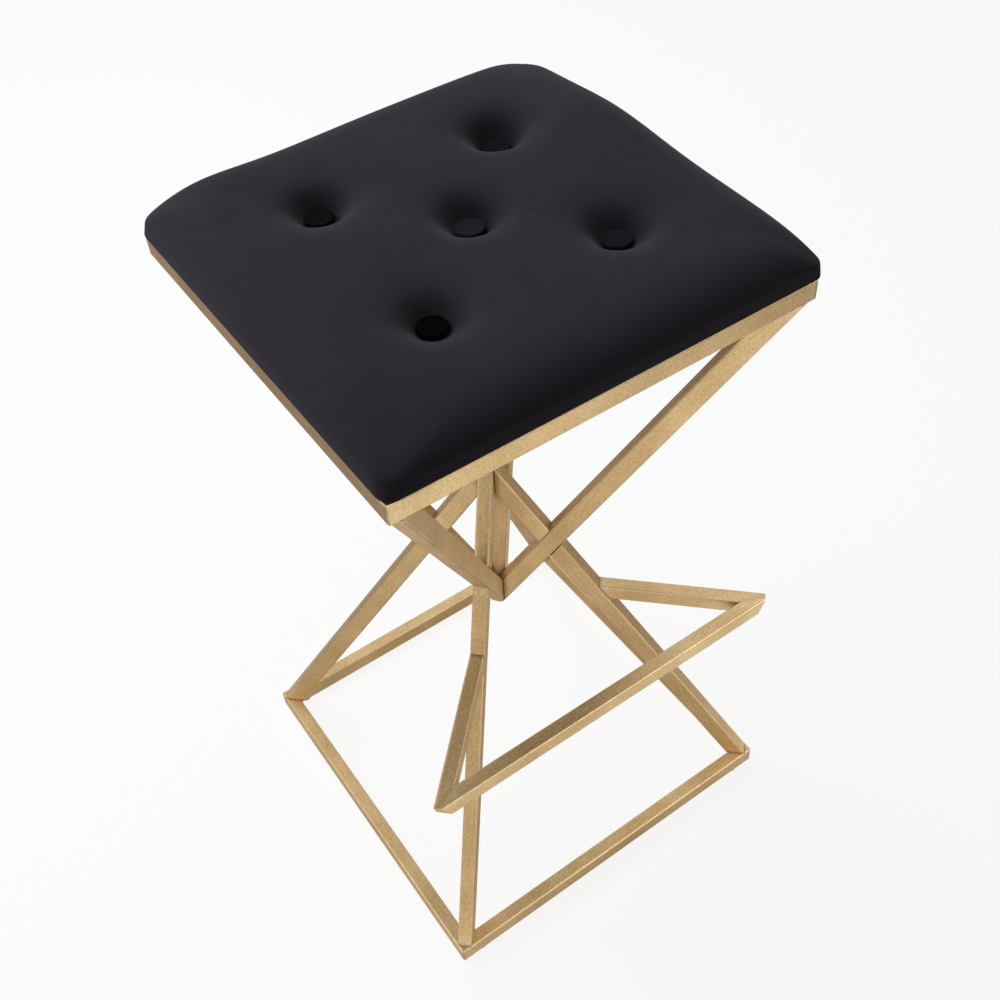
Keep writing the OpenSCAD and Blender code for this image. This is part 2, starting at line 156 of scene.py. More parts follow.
class Material(Nodes):
    """A finish: what is the same all over its shader, and what varies over the surface."""

    def __init__(self, name, **constants):
        self.data = bpy.data.materials.new(name)
        self.data.use_nodes = True
        super().__init__(self.data.node_tree)
        self.shader = next(n for n in self.tree.nodes if n.type == "BSDF_PRINCIPLED")
        self.feed(**constants)

    def feed(self, **inputs):
        for name, value in inputs.items():
            self.link(value, self.shader.inputs[name.replace("_", " ")])
        return self.data


def rgb(r, g, b):
    """A colour written as it shows on screen, 0 to 255, in the linear values of shaders."""
    return tuple(((c / 255 + 0.055) / 1.055) ** 2.4 if c > 10 else c / 255 / 12.92
                 for c in (r, g, b)) + (1.0,)


print("Brass in linear values:", [round(c, 3) for c in rgb(200, 170, 120)])

# %% [markdown]
# ## The camera
# The photograph looks down at the stool from its front left, at about 46 degrees. Its station was
# worked out from the edges of the two square frames: where they point, and how fast they shrink.

# %% Camera station
CAMERA_AZIMUTH, CAMERA_ELEVATION, CAMERA_ROLL = 33.0288, 46.1397, -3.4641
CAMERA_PLACE = np.array([-424.47, -713.77, 1307.57]) * MM
FOCAL_PIXELS, CENTRE_X, CENTRE_Y = 1223.93, 522.67, 480.82
PICTURE, SENSOR_MM = 1000, 36.0


def camera_turn(azimuth, elevation, roll):
    """Right, up and back of a camera that looks at the stool, rolled about its view."""
    a, e, r = np.radians([azimuth, elevation, roll])
    back = np.array([-np.sin(a) * np.cos(e), -np.cos(a) * np.cos(e), np.sin(e)])
    right = np.cross(-back, [0.0, 0.0, 1.0])
    right /= np.linalg.norm(right)
    up = np.cross(right, -back)
    return np.cos(r) * right + np.sin(r) * up, -np.sin(r) * right + np.cos(r) * up, back


def add_camera():
    """Lens = focal pixels over the picture's pixels; shift = the optical centre's offset."""
    data = bpy.data.cameras.new("photograph_camera")
    camera = bpy.data.objects.new("photograph_camera", data)
    bpy.context.scene.collection.objects.link(camera)
    data.sensor_width = SENSOR_MM
    data.lens = FOCAL_PIXELS / PICTURE * SENSOR_MM
    data.shift_x = (PICTURE / 2 - CENTRE_X) / PICTURE
    data.shift_y = (CENTRE_Y - PICTURE / 2) / PICTURE
    data.clip_start, data.clip_end = 0.05, 20.0
    right, up, back = camera_turn(CAMERA_AZIMUTH, CAMERA_ELEVATION, CAMERA_ROLL)
    turn = np.eye(4)
    turn[:3] = np.column_stack([right, up, back, CAMERA_PLACE])
    camera.matrix_world = Matrix(turn.tolist())
    bpy.context.scene.camera = camera
    return camera


camera = add_camera()
print("Lens", round(camera.data.lens, 2), "mm, shift",
      round(camera.data.shift_x, 4), round(camera.data.shift_y, 4))

# %% [markdown]
# ## A floor that stays white
# The photograph has a plain white ground. The floor here is pale and keeps a faint shadow: what
# the camera sees of it is mostly its own white, so no lamp has to burn it out.
#
# Metal shows what stands round it, and a white floor without an end would make the brass look
# flat. So in reflections only, the floor gets painted shade: a painted shadow under the stool,
# and painted shade to the right and the back left.

# %% Floor
WHITE = (1.0, 1.0, 1.0, 1.0)
LAMPS_FIND, CAMERA_FINDS = (0.30, 0.30, 0.30, 1.0), (0.95, 0.95, 0.95, 1.0)
OWN_WHITE = 0.88
BRIGHT_FLOOR = (1.20, 1.19, 1.16, 1.0)
# Each painted shade in reflections: what is measured, along which way, where it starts, where it is
# full, and its colour
FLOOR_SHADES = (
    ("LENGTH", (0.0, 0.0, 0.0), 0.50, 0.18, (0.52, 0.46, 0.38, 1.0)),
    ("DOT_PRODUCT", (0.95, 0.31, 0.0), 0.26, 0.66, (0.34, 0.29, 0.29, 1.0)),
    ("DOT_PRODUCT", (-math.sqrt(0.5), math.sqrt(0.5), 0.0), 0.20, 0.60, (0.30, 0.27, 0.28, 1.0)))


def flat_floor(half_side=4.0):
    """A square of the floor, four corners at height zero."""
    corners = np.array([[-1, -1, 0], [1, -1, 0], [1, 1, 0], [-1, 1, 0]]) * half_side
    mesh = bpy.data.meshes.new("studio_floor")
    mesh.from_pydata(corners.tolist(), [], [(0, 1, 2, 3)])
    made = bpy.data.objects.new("studio_floor", mesh)
    bpy.context.scene.collection.objects.link(made)
    return made


def seen_directly(nodes):
    """1 for rays of the camera, of reflections and through glass; 0 for rays of light."""
    return nodes.ray("Is Camera Ray").math("ADD", nodes.ray("Is Glossy Ray"), clamp=True).math(
        "ADD", nodes.ray("Is Transmission Ray"), clamp=True)


def floor_material():
    """Lamps find a mid grey, so little light bounces up; the camera sees white and a shadow."""
    data = bpy.data.materials.new("pale_floor")
    data.use_nodes = True
    data.node_tree.nodes.clear()
    nodes = Nodes(data.node_tree)
    in_gloss = BRIGHT_FLOOR
    # Painted shade on the floor, seen only in reflections.
    for operation, way, start, full, shade in FLOOR_SHADES:
        reach = nodes.measure(operation, nodes.place(), way)
        in_gloss = nodes.mix(nodes.ease(reach, start, full), in_gloss, shade)
    own = nodes.mix(nodes.ray("Is Glossy Ray"), WHITE, in_gloss)
    seen = seen_directly(nodes)
    painted = nodes.mix(seen, LAMPS_FIND, CAMERA_FINDS)
    lit = nodes.node("ShaderNodeBsdfDiffuse", None, {"Color": painted})
    shown = nodes.node("ShaderNodeEmission", None, {"Color": own})
    surface = nodes.node("ShaderNodeMixShader", None, {0: seen * OWN_WHITE, 1: lit, 2: shown})
    nodes.node("ShaderNodeOutputMaterial", None, {"Surface": surface})
    return data


floor = flat_floor()
floor.data.materials.append(floor_material())
print("Floor side in metres:", floor.data.vertices[1].co.x - floor.data.vertices[0].co.x)

# %% [markdown]
# ## World and lamps
# The light is soft and even. The world is dimmer for light that falls on a surface than for the
# camera and for reflections, so the lamps still shape the cushion. A large lamp behind the stool
# gives the velvet its shading, and one at the left lifts the faces on that side. The lamp behind
# isn't mirrored, and a small bright card in front is only mirrored, which lights up the brass
# and leaves the velvet as it is.

# %% Stage
DIM_LIGHT = 0.14
HORIZON_SHADE, SHADE_STARTS, SHADE_FULL = (0.46, 0.40, 0.34, 1.0), 0.5, 0.1


def studio_world():
    """White for the camera and for reflections, dim for the light that falls on a surface.
    Reflections see it darken towards the horizon, as a room's walls do."""
    world = bpy.data.worlds.new("studio_world")
    world.use_nodes = True
    nodes = Nodes(world.node_tree)
    background = next(n for n in world.node_tree.nodes if n.type == "BACKGROUND")
    height = nodes.part(nodes.node("ShaderNodeTexCoord", output="Generated"), "Z")
    shade = nodes.ease(height, SHADE_STARTS, SHADE_FULL) * nodes.ray("Is Glossy Ray")
    nodes.link(nodes.mix(shade, WHITE, HORIZON_SHADE), background.inputs["Color"])
    nodes.link(nodes.ease(seen_directly(nodes), 0.0, 1.0, DIM_LIGHT, 1.0),
               background.inputs["Strength"])
    bpy.context.scene.world = world


def softbox(name, place, size, watts, colour=(1.0, 1.0, 1.0), mirrored=True, shines=True):
    """A square area lamp that points at the stool's middle. One that isn't mirrored leaves the
    metal's gloss to the white room; one that doesn't shine is only a card for gloss to mirror."""
    data = bpy.data.lights.new(name, "AREA")
    data.shape, data.size, data.energy, data.color = "SQUARE", size, watts, colour
    lamp = bpy.data.objects.new(name, data)
    lamp.location = place
    view = Vector((0.0, 0.0, 0.45)) - Vector(place)
    lamp.rotation_euler = view.to_track_quat("-Z", "Y").to_euler()
    lamp.visible_glossy, lamp.visible_diffuse = mirrored, shines
    bpy.context.scene.collection.objects.link(lamp)


studio_world()
softbox("back_softbox", (-0.45, 1.5, 2.5), 2.3, 66.0, mirrored=False)
softbox("left_softbox", (-2.2, 0.3, 1.0), 1.6, 8.0, (1.0, 0.96, 0.94))
softbox("front_card", (1.07, -1.5, 2.2), 0.5, 8.5, (1.0, 0.985, 0.95), shines=False)
bpy.context.scene.view_settings.view_transform = "Standard"

# %% [markdown]
# ## Where each tube lies
# The frame is welded from rectangular steel tube with a brass-coloured plating, brushed along
# each tube. Its lines, worn edges and seams depend on where a point lies on its own tube, so
# each tube's centre line, its turn and the planes of its joints are worked out first.

# %% Sizes repeated from the CAD source, in metres
SEAT_HALF, BASE_HALF = 200 * MM, 207 * MM
TUBE_H, TUBE_W, FOOT_H = 20 * MM, 15 * MM, 18 * MM
RAIL_TOP, RAIL_BOTTOM, BASE_TOP = 714 * MM, 694 * MM, 22 * MM
V_TIP_Z, APEX_Z, FOOT_TOP = 257 * MM, 486 * MM, 309 * MM
ROOT2 = math.sqrt(2.0)
CORNERS = {"front_left": (-1, -1), "front_right": (1, -1),
           "back_right": (1, 1), "back_left": (-1, 1)}
SIDES = {"front": (0, -1), "right": (1, 0), "back": (0, 1), "left": (-1, 0)}

# How dark a seam is: one that was ground flush, and one that was left open
GROUND, OPEN = 0.18, 0.8


def unit(v):
    v = np.asarray(v, float)
    return v / np.linalg.norm(v)


def facing(v, way):
    """The vector or its opposite, whichever points up (way 1) or down (way -1)."""
    return v if v[2] * way > 0 else -v


class Tube:
    """A tube's centre line and turn, and the planes of its welded joints."""

    def __init__(self, centre, along, across, height, joints):
        self.centre, self.height, self.joints = np.asarray(centre, float), height, joints
        x = unit(along)
        y = unit(np.asarray(across, float) - x * np.dot(x, across))
        self.turn = np.array([x, y, np.cross(x, y)])


# %% Square frames
def square_frame(half, middle_z):
    """Four tubes of a square: each centre line lies half a tube's width inside its side."""
    found = {}
    for side, (dx, dy) in SIDES.items():
        out = np.array([dx, dy, 0.0])
        centre = out * (half - TUBE_W / 2) + np.array([0, 0, middle_z])
        mitres = [((1, 1, 0), 0.0, GROUND), ((1, -1, 0), 0.0, GROUND)]
        found[side] = Tube(centre, (-dy, dx, 0), out, TUBE_H, mitres)
    return found


tubes = {}
for side, tube in square_frame(BASE_HALF, BASE_TOP - TUBE_H / 2).items():
    tubes["base_rail_" + side] = tube
for side, tube in square_frame(SEAT_HALF, RAIL_TOP - TUBE_H / 2).items():
    tubes["seat_rail_" + side] = tube
print("Tubes of the square frames:", len(tubes))

# %% Struts
UPPER_REACH = SEAT_HALF * ROOT2 - TUBE_W / 2
LOWER_REACH = BASE_HALF * ROOT2 - TUBE_W / 2
UPPER_SLOPE = math.atan2(RAIL_BOTTOM - V_TIP_Z, UPPER_REACH)
LOWER_SLOPE = math.atan2(APEX_Z - BASE_TOP, LOWER_REACH)


def strut_tubes(sx, sy):
    """The upper strut climbs outwards from the V tip along a diagonal, and the lower one falls
    outwards from the apex. The lower one is cut by both faces of the upper one."""
    out = unit((sx, sy, 0))
    beside = np.array([-out[1], out[0], 0])
    axis_planes = [((1, 0, 0), 0.0, OPEN), ((0, 1, 0), 0.0, OPEN)]
    climb = out * math.cos(UPPER_SLOPE) + np.array([0, 0, math.sin(UPPER_SLOPE)])
    up, start = facing(np.cross(climb, beside), 1), np.array([0, 0, V_TIP_Z])
    upper = Tube(start + up * TUBE_H / 2, climb, beside, TUBE_H,
                 axis_planes + [((0, 0, 1), RAIL_BOTTOM, OPEN)])
    fall = out * math.cos(LOWER_SLOPE) - np.array([0, 0, math.sin(LOWER_SLOPE)])
    down, apex = facing(np.cross(fall, beside), -1), np.array([0, 0, APEX_Z])
    low = float(np.dot(up, start))
    crossing = [(up, low, GROUND), (up, low + TUBE_H, GROUND)]
    lower = Tube(apex + down * TUBE_H / 2, fall, beside, TUBE_H,
                 axis_planes + [((0, 0, 1), BASE_TOP, OPEN)] + crossing)
    return upper, lower


for corner, (sx, sy) in CORNERS.items():
    tubes["upper_strut_" + corner], lower = strut_tubes(sx, sy)
    tubes["lower_strut_" + corner] = tubes["apex_stub_" + corner] = lower
print("Strut slopes from level, degrees:",
      round(math.degrees(UPPER_SLOPE), 2), round(math.degrees(LOWER_SLOPE), 2))

# %% Footrest
foot_middle = FOOT_TOP - FOOT_H / 2
mitre_outer = np.array([SEAT_HALF + TUBE_W / ROOT2, -SEAT_HALF, 0.0])
mitre_inner = np.array([SEAT_HALF - TUBE_W - TUBE_W / ROOT2, TUBE_W - SEAT_HALF, 0.0])
mitre = unit(mitre_outer - mitre_inner)
right_mitre = np.array([-mitre[1], mitre[0], 0.0])
left_mitre = right_mitre * np.array([-1, 1, 1])
mitre_offset = float(np.dot(right_mitre, mitre_outer))
tubes["footrest_bar"] = Tube(
    (0, TUBE_W / 2 - SEAT_HALF, foot_middle), (1, 0, 0), (0, 1, 0), FOOT_H,
    [(right_mitre, mitre_offset, GROUND), (left_mitre, mitre_offset, GROUND)])
for side, sx, own_mitre in (("left", -1, left_mitre), ("right", 1, right_mitre)):
    out = unit((sx, -1, 0))
    beside = (-out[1], out[0], 0)
    skin = np.cross(tubes["lower_strut_front_" + side].turn[0], beside)
    tubes["footrest_arm_" + side] = Tube(
        (0, 0, foot_middle), out, beside, FOOT_H,
        [(own_mitre, mitre_offset, GROUND), (skin, float(np.dot(skin, (0, 0, APEX_Z))), OPEN)])
print("Length of the footrest's mitre, mm:",
      round(float(np.linalg.norm(mitre_outer - mitre_inner)) / MM, 1))

# %% [markdown]
# ## The brass finish
# Satin brass reads as real through small faults: fine brushed lines along the tube, a mottled
# tone, and thin dark seams where two tubes were welded. Edges are paler where they face up,
# partly wear and partly a painted highlight; edges that face down and the metal round the seams
# get painted shade.
#
# Each tube gets its own copy of one material. A Mapping node turns object coordinates into the
# tube's own: along, across, up. A seam is a thin band round a joint's plane.

# %% Colours of the brass
BRASS, BRASS_DEEP = rgb(232, 204, 156), rgb(186, 156, 107)
# The pale colour serves polish and, on upper edges, a painted highlight; the shade colour is
# painted shade.
BRASS_PALE, BRASS_SHADE = rgb(250, 232, 190), rgb(112, 84, 50)
SEAM_BROWN = rgb(70, 50, 30)
FINE_LINES, BROAD_STREAKS = (45.0, 1900.0, 1900.0), (24.0, 520.0, 520.0)
ARRIS, ARRIS_FADE = 1.3 * MM, 1.1 * MM
# The second width is how far the painted shade round a joint reaches.
SEAM_W, JOINT_SHADE_W, POLISH_W = 0.35 * MM, 4.5 * MM, 11 * MM


# %% The marks of welding, and painted shade round the joints
def joint_marks_and_shade(m, joints):
    """Seam, polish and painted shade at a tube's joints: each is a constant less the distance to
    the joint's plane over the mark's width, and the greatest over all joints counts."""
    marks = []
    for normal, offset, depth in joints:
        n = unit(normal)
        reach = m.measure("DOT_PRODUCT", m.place(), tuple(n))
        gap = (reach - offset / float(np.linalg.norm(normal))).math("ABSOLUTE")
        # The third mark is painted shade round the joint.
        marks.append(((1.6 - gap / SEAM_W).clamp() * depth, (1.3 - gap / POLISH_W).clamp(),
                      (1.0 - gap / JOINT_SHADE_W).clamp() * (depth * 0.75)))
    greatest = marks[0]
    for mark in marks[1:]:
        greatest = [a.math("MAXIMUM", b) for a, b in zip(greatest, mark)]
    return greatest


# %% Brass on a tube
def brass_tube(name, tube):
    """Colour = mottled brass; paler along upper edges, partly wear and partly a painted highlight;
    darker along lower edges and round the joints, which is painted shade, and dark at the seams;
    bump and roughness follow the brushing."""
    m = Material(name, Metallic=1.0, Roughness=0.36)
    on_tube = m.mapping(m.place(), Location=tuple(-tube.turn @ tube.centre),
                        Rotation=tuple(Matrix(tube.turn.tolist()).to_euler()))
    lines = m.mapping(on_tube, Scale=FINE_LINES)
    streaks = m.mapping(on_tube, Scale=BROAD_STREAKS)
    grain = m.noise(1.0, 3.0, 0.6, lines) * 0.5 + m.noise(1.0, 3.0, 0.7, streaks) * 0.5
    mottle = m.noise(420.0, 4.0, 0.75, on_tube)
    cloud = m.noise(16.0, 2.0, 0.5, on_tube)
    across = m.part(on_tube, "Y").math("ABSOLUTE") - (TUBE_W / 2 - ARRIS)
    upwards = m.part(on_tube, "Z").math("ABSOLUTE") - (tube.height / 2 - ARRIS)
    edge = (across.math("MINIMUM", upwards) / ARRIS_FADE + mottle * 0.5).clamp()
    upper = (m.part(m.node("ShaderNodeNewGeometry", output="Normal"), "Z") * 2.0 + 0.4).clamp()
    seam, polish, joint_shade = joint_marks_and_shade(m, tube.joints)
    tone = (grain - 0.5) * 1.2 + (mottle - 0.5) * 2.2 + (cloud - 0.5) * 1.1 + 0.55
    colour = m.mix(tone.clamp(), BRASS_DEEP, BRASS)
    colour = m.mix((polish * (cloud * 1.6 + mottle - 1.0)).clamp() * 0.6, colour, BRASS_PALE)
    # Paler upper edges: partly wear, partly a painted highlight.
    colour = m.mix(edge * upper * 0.15, colour, BRASS_PALE)
    # Darker edges where the surface faces down: painted shade.
    colour = m.mix(edge * (1.0 - upper) * 0.25, colour, BRASS_SHADE)
    # Painted shade round the joints.
    colour = m.mix(joint_shade, colour, BRASS_SHADE)
    colour = m.mix(seam, colour, SEAM_BROWN)
    roughness = 0.34 + grain * 0.14 + mottle * 0.10 - edge * 0.06
    height = grain * 0.6 + mottle * 0.6 - seam * 3.0
    return m.feed(Base_Color=colour, Roughness=roughness, Normal=m.bump(height, 0.35, 0.12 * MM))


def dress(node, material):
    """Puts a material in every slot of a CAD node."""
    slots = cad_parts[node].material_slots
    for slot in slots:
        slot.material = material
    if not len(slots):
        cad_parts[node].data.materials.append(material)


for node, tube in tubes.items():
    dress(node, brass_tube("brass_" + node, tube))
print("Brass tubes dressed:", len(tubes))

# %% [markdown]
# ## The cushion
# The seat is one piece of velvet pulled over a square foam pad and stapled under a board. Its top
# is nearly flat, a wide rolled edge turns down to the rail, and five buttons on twine draw the top
# down into soft conical hollows. Foam and cloth are cut by hand, so the right side is fuller than
# the left, each corner falls in its own way, and the buttons stray from their square.
#
# A grid of square rings follows the pad: it starts at the centre button, crosses the top, turns
# over the roll and goes in under the hem. Cloth simulation then lets the cover swell between its
# held lines, as foam does, and a cap keeps it in its form.

# %% The cushion's sizes
CROWN, CROWN_FALL, BULGE_H = 46.0 * MM, 0.6 * MM, 16 * MM
WIDEST, ROLL, ROLL_POWER = 202 * MM, 43 * MM, 2.15
WIDE_R, CROWN_R, HEM_R, TUCK, HEM = 17 * MM, 67 * MM, 9 * MM, 0.2 * MM, 19 * MM
LEAN_X, LEAN_Y, SHIFT_X, SHIFT_Y, BOW = 3.7 * MM, 4.2 * MM, 1.0 * MM, -6.0 * MM, 2 * MM

# Each corner's share of the rounding's radius, how far its top falls, and how suddenly
CORNER_ROUND = {(1, 1): 1.09, (1, -1): 0.72, (-1, 1): 0.97, (-1, -1): 1.2}
CORNER_FALL = {(1, 1): (19 * MM, 6.6), (1, -1): (31 * MM, 9.0),
               (-1, 1): (26 * MM, 6.2), (-1, -1): (8 * MM, 4.6)}
# Fuller and flatter spots, in mm: place, reach and rise
PUFFS = np.array([(190, 41, 50, 9.1), (-91, 165, 55, -2.3),
                  (-150, 170, 35, 6.2), (190, -189, 45, -1.0)]) * MM

# %% The buttons' places
BUTTON_R, BUTTON_PITCH, BUTTON_SEAT = 13 * MM, 174 * MM, 24 * MM
SEAT_R, HOLLOW_R, HOLLOW_POWER = 14.5 * MM, 62 * MM, 3.7
HAND_PLACED = {"centre": (1.9, -3.5), "front_left": (-2.8, -2.8), "front_right": (-3.4, -2.4),
               "back_right": (0.2, -3.5), "back_left": (0.0, -0.5)}
BUTTONS = {}
for place, (sx, sy) in {"centre": (0, 0), **CORNERS}.items():
    stray_x, stray_y = HAND_PLACED[place]
    BUTTONS["button_" + place] = (sx * BUTTON_PITCH / 2 + stray_x * MM,
                                  sy * BUTTON_PITCH / 2 + stray_y * MM)
print("Buttons, mm:", {k: (round(x / MM, 1), round(y / MM, 1)) for k, (x, y) in BUTTONS.items()})


# %% The cushion's form
def roll_share(x):
    """1 on the top; over the roll, the q-th root of 1 less the q-th power of the way across."""
    t = np.clip((np.abs(x) - (WIDEST - ROLL)) / ROLL, 0, 1)
    return (1 - t**ROLL_POWER) ** (1 / ROLL_POWER)


def hollow_share(x, y):
    """1 under a button, then a power of the share of the way left to the hollow's edge."""
    share = np.zeros_like(x)
    for bx, by in BUTTONS.values():
        t = np.clip((np.hypot(x - bx, y - by) - SEAT_R) / (HOLLOW_R - SEAT_R), 0, 1)
        share = np.maximum(share, (1 - t) ** HOLLOW_POWER)
    return share


def cushion_height(x, y, roll):
    """Height over the rail: the widest line, plus the top's height over it times the roll's
    share. The top falls at a corner by a power of the product of both ways out."""
    a, b = np.abs(x / WIDEST), np.abs(y / WIDEST)
    fall = sum(drop * (a * b) ** power * ((x * sx > 0) & (y * sy > 0))
               for (sx, sy), (drop, power) in CORNER_FALL.items())
    top = CROWN - CROWN_FALL * (a * a + b * b - a * a * b * b) - fall
    top = top + LEAN_X * x / WIDEST + LEAN_Y * y / WIDEST
    for px, py, reach, rise in PUFFS:
        top = top + rise * np.exp(-((x - px) ** 2 + (y - py) ** 2) / (2 * reach * reach))
    dip = hollow_share(x, y)
    top = top * (1 - dip) + BUTTON_SEAT * dip
    return BULGE_H + (top - BULGE_H) * roll


# %% Rings round the pad
def square_ring(half, radius, steps):
    """Points round a square of a half side, closer near the corners; each corner is rounded by
    its own share of the radius."""
    t = np.linspace(-1, 1, steps + 1)[:-1]
    e = (1.35 * t - 0.35 * t**3) * half
    place = np.concatenate([np.stack([half * c - e * s, half * s + e * c], -1)
                            for c, s in ((1, 0), (0, 1), (-1, 0), (0, -1))])
    share = sum(part * ((place[:, 0] * sx > 0) & (place[:, 1] * sy > 0))
                for (sx, sy), part in CORNER_ROUND.items())
    r = radius * np.where(share > 0, share, 0.9)[:, None]
    inner = np.sign(place) * np.minimum(np.abs(place), half - r)
    out = place - inner
    return inner + out / np.linalg.norm(out, axis=1)[:, None] * r


def cushion_rings(steps=60, top_rings=34, roll_rings=18, side_rings=5, inset=0.0):
    """Rings from the middle of the top over the roll, down the side and in under the hem."""
    flat = (WIDEST - ROLL) / WIDEST
    over_roll = flat + (1 - flat) * np.sin(np.linspace(0, np.pi / 2, roll_rings))
    rings = []
    for share in (*np.linspace(0.02, flat, top_rings, endpoint=False), *over_roll):
        half = WIDEST * share - inset * share
        radius = min(WIDE_R + (CROWN_R - WIDE_R) * min((1 - share) / (1 - flat), 1.0), half)
        plan = square_ring(half, radius, steps)
        z = cushion_height(*(plan * WIDEST / (WIDEST - inset)).T, roll_share(WIDEST * share))
        rings.append(np.column_stack([plan, z - inset * np.clip((z - BULGE_H) / (20 * MM), 0, 1)]))
    widest = rings[-1][:, 2]
    for share in np.linspace(0, 1, side_rings + 1)[1:]:
        half = WIDEST - inset * (1 - share) - TUCK * share**2
        plan = square_ring(half, WIDE_R + (HEM_R - WIDE_R) * share, steps)
        rings.append(np.column_stack([plan, widest * (1 - share) + 0.1 * MM * share]))
    hem = WIDEST - TUCK - HEM
    for half, z in ((hem, 0.1), (hem - 1 * MM, 1.2), (hem * 0.5, 1.2), (hem * 0.04, 1.2)):
        plan = square_ring(half, min(HEM_R, half), steps)
        rings.append(np.column_stack([plan, np.full(len(plan), z * MM)]))
    return np.stack(rings)


def hand_fitted(points):
    """Moves the pad's upper part by a shift times the square of the way out, and bows each side
    out by 1 less the square of the way along it."""
    x, y, z = points.T
    rise = np.clip(z / CROWN, 0, 1)
    a, b = x / WIDEST, y / WIDEST
    bow = BOW * np.clip(rise * 3, 0, 1)
    moved_x = x + SHIFT_X * rise * a**2 + np.sign(x) * bow * (1 - np.clip(b * b, 0, 1)) * a**4
    moved_y = y + SHIFT_Y * rise * b**2 + np.sign(y) * bow * (1 - np.clip(a * a, 0, 1)) * b**4
    return np.stack([moved_x, moved_y, z], -1)


# %% From rings to a mesh
def mesh_of_rings(name, rings):
    """A closed mesh: quads between neighbouring rings, and a fan at each end."""
    count, around = rings.shape[:2]
    ends = np.stack([rings[0].mean(0), rings[-1].mean(0)])
    points = np.concatenate([rings.reshape(-1, 3), ends])
    i, j = np.meshgrid(np.arange(count - 1), np.arange(around), indexing="ij")
    k = (j + 1) % around
    quads = np.stack([i * around + j, (i + 1) * around + j, (i + 1) * around + k,
                      i * around + k], -1).reshape(-1, 4)
    n, after = np.arange(around), (np.arange(around) + 1) % around
    first = np.column_stack([n, after, np.full(around, count * around)])
    last = np.column_stack([after + (count - 1) * around, n + (count - 1) * around,
                            np.full(around, count * around + 1)])
    mesh = bpy.data.meshes.new(name)
    mesh.from_pydata(points.tolist(), [], quads.tolist() + first.tolist() + last.tolist())
    mesh.polygons.foreach_set("use_smooth", np.ones(len(mesh.polygons), bool))
    mesh.update()
    made = bpy.data.objects.new(name, mesh)
    bpy.context.scene.collection.objects.link(made)
    return made


SWELL = 2.0 * MM
form = cushion_rings(inset=0.5 * SWELL)
points = hand_fitted(form.reshape(-1, 3))
points[:, 2] += RAIL_TOP
cushion = mesh_of_rings("velvet_cushion", points.reshape(form.shape))
print("Cushion points:", len(cushion.data.vertices), "height over the rail, mm:",
      round((points[:, 2].max() - RAIL_TOP) / MM, 1))

# %% [markdown]
# ## Letting the cover swell
# The foam pushes the cover outwards, and the buttons, the rail and the hem hold it. Blender's Cloth
# with a little pressure and no gravity does that. A point may move only as far as the cap, so the
# outline stays where the photograph has it, and each point's way is spread over its neighbours,
# which leaves the round swelling and takes out creases.


# %% Cloth with pressure
def coordinates(mesh):
    co = np.empty(len(mesh.vertices) * 3)
    mesh.vertices.foreach_get("co", co)
    return co.reshape(-1, 3)


def spread(mesh, way, held, rounds=40):
    """Averages each point's way with its neighbours' mean, again and again."""
    ends = np.empty(len(mesh.edges) * 2, int)
    mesh.edges.foreach_get("vertices", ends)
    a, b = ends.reshape(-1, 2).T
    count = np.bincount(ends, minlength=len(way))[:, None]
    for _ in range(rounds):
        total = np.zeros_like(way)
        np.add.at(total, a, way[b])
        np.add.at(total, b, way[a])
        way = np.where(held[:, None], 0.0, (way + total / count) / 2)
    return way


def swell(piece, held, frames=20, pressure=4.0, cap=SWELL):
    """Runs the cloth, limits each point's way to cap times the hyperbolic tangent of the way
    over the cap, and spreads it."""
    scene = bpy.context.scene
    start = coordinates(piece.data)
    group = piece.vertex_groups.new(name="held")
    group.add(np.flatnonzero(held).tolist(), 1.0, "REPLACE")
    cloth = piece.modifiers.new("cloth", "CLOTH")
    cloth.settings.use_pressure = True
    cloth.settings.uniform_pressure_force = pressure
    cloth.settings.vertex_group_mass = group.name
    cloth.settings.effector_weights.gravity = 0.0
    cloth.settings.quality = 6
    cloth.settings.tension_stiffness = cloth.settings.compression_stiffness = 30.0
    cloth.settings.bending_stiffness = 1.0
    cloth.collision_settings.use_collision = False
    scene.frame_start, scene.frame_end = 1, frames
    for number in range(1, frames + 1):
        scene.frame_set(number)
    moved = coordinates(piece.evaluated_get(bpy.context.evaluated_depsgraph_get()).data)
    piece.modifiers.remove(cloth)
    piece.vertex_groups.remove(group)
    scene.frame_set(1)
    way = moved - start
    length = np.linalg.norm(way, axis=1, keepdims=True) + 1e-9
    way = spread(piece.data, way / length * cap * np.tanh(length / cap), held)
    piece.data.vertices.foreach_set("co", (start + way).ravel())
    piece.data.update()
    return np.linalg.norm(way, axis=1)


# %% Hold the buttons and the hem, and swell
co = coordinates(cushion.data)
to_button = [np.hypot(co[:, 0] - bx, co[:, 1] - by) for bx, by in BUTTONS.values()]
near_button = np.min(to_button, axis=0) < BUTTON_R + 1 * MM
on_board = co[:, 2] < RAIL_TOP + 4 * MM
way = swell(cushion, near_button | on_board)
print("Cover moved, mm: middle", round(float(np.median(way)) / MM, 2),
      "most", round(float(way.max()) / MM, 2))

# %% [markdown]
# ## The velvet
# Velvet is dark where one looks into its pile and paler where the pile lies over. Close to the
# camera it is almost one tone, so the finish is a near-black base whose nap wanders a little, a
# soft sheen at grazing angles, and a fine bump for the pile. Round each button the colour is
# darker in the hollow: painted shade.

# %% The pile
# The third colour, and the reach below, are painted shade in the hollows round the buttons.
PILE_DARK, PILE_PALE, HOLLOW_SHADE_COLOUR = (31, 29, 34), (46, 43, 52), rgb(11, 10, 12)
HOLLOW_SHADE_REACH = 22 * MM


